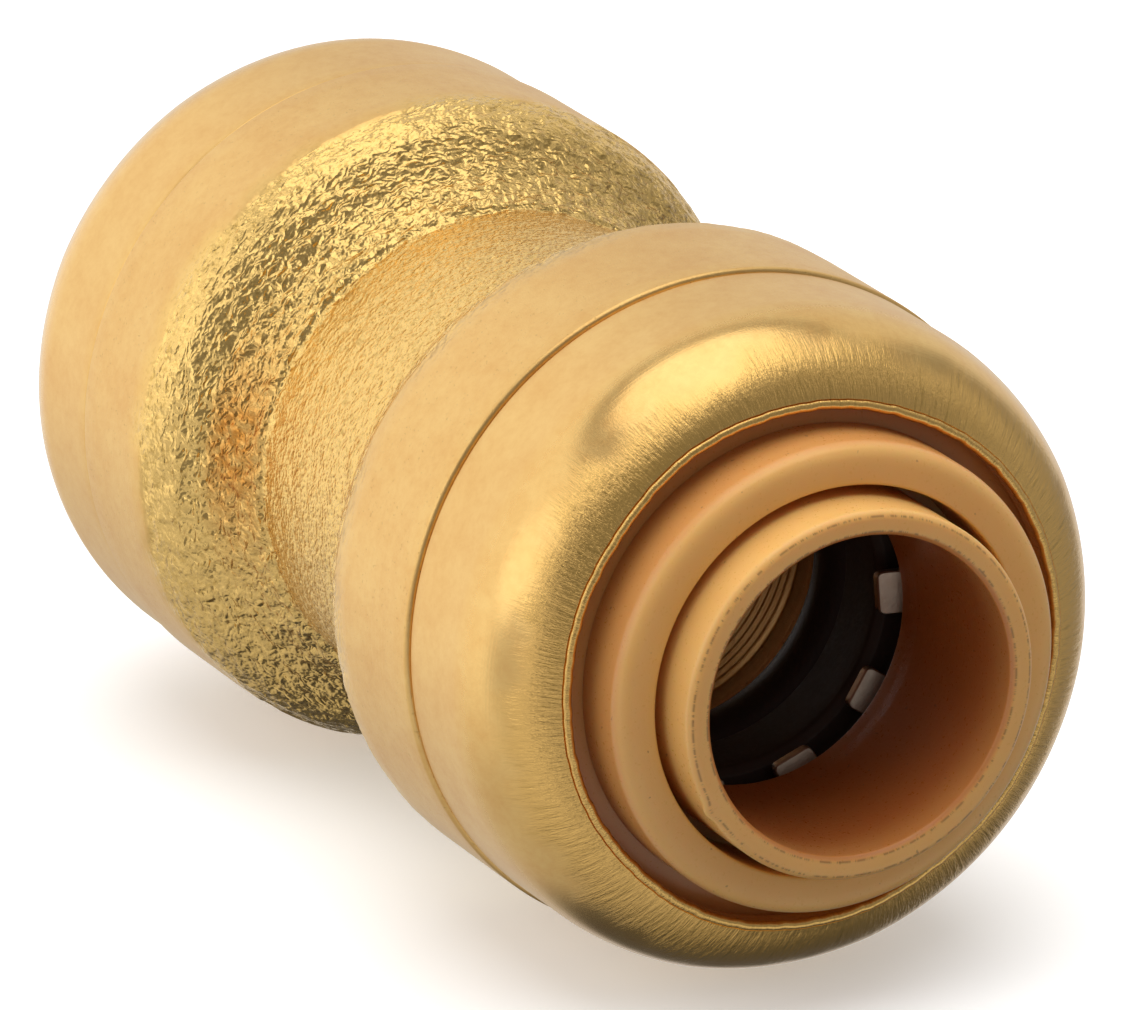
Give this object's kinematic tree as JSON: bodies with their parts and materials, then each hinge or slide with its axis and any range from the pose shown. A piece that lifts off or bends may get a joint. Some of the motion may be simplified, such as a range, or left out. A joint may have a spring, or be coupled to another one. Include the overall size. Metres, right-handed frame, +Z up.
{
  "type": "push-to-connect fitting",
  "caption": "Straight brass push-to-connect tube coupling with domed end caps, tan release collars and toothed grab rings inside.",
  "frame": {"origin": "centre of the fitting: on its axis, half way between the two collar faces", "axes": "+X along the tube axis towards the front socket, +Z up; the fitting lies on its side"},
  "size_m": [0.0408, 0.0204, 0.0205],
  "materials": {
    "forged_brass": "forged waist, satin machined sockets",
    "spun_brass": "satin, spun and rolled",
    "tan_plastic": "moulded, fine satin grain",
    "black_plastic": "moulded, matte",
    "stainless": "rolled sheet",
    "seal_rubber": "greased, dull"
  },
  "bodies": {
    "fitting": {"body": "forged_brass", "front_end_cap": "spun_brass", "front_guide_ring": "tan_plastic", "front_grab_ring": "stainless", "front_seal_protector": "black_plastic", "front_o_ring": "seal_rubber", "rear_end_cap": "spun_brass", "rear_guide_ring": "tan_plastic", "rear_grab_ring": "stainless", "rear_seal_protector": "black_plastic", "rear_o_ring": "seal_rubber"},
    "front_collar": {"front_release_collar": "tan_plastic"},
    "rear_collar": {"rear_release_collar": "tan_plastic"}
  },
  "joints": [
    {"name": "front_collar_push", "type": "slide", "parent": "fitting", "child": "front_collar", "axis": [-1, 0, 0], "range_m": [0, 0.001], "stiffness_N_per_m": 2000, "deforming": ["front_grab_ring"]},
    {"name": "rear_collar_push", "type": "slide", "parent": "fitting", "child": "rear_collar", "axis": [1, 0, 0], "range_m": [0, 0.001], "stiffness_N_per_m": 2000, "deforming": ["rear_grab_ring"]}
  ]
}
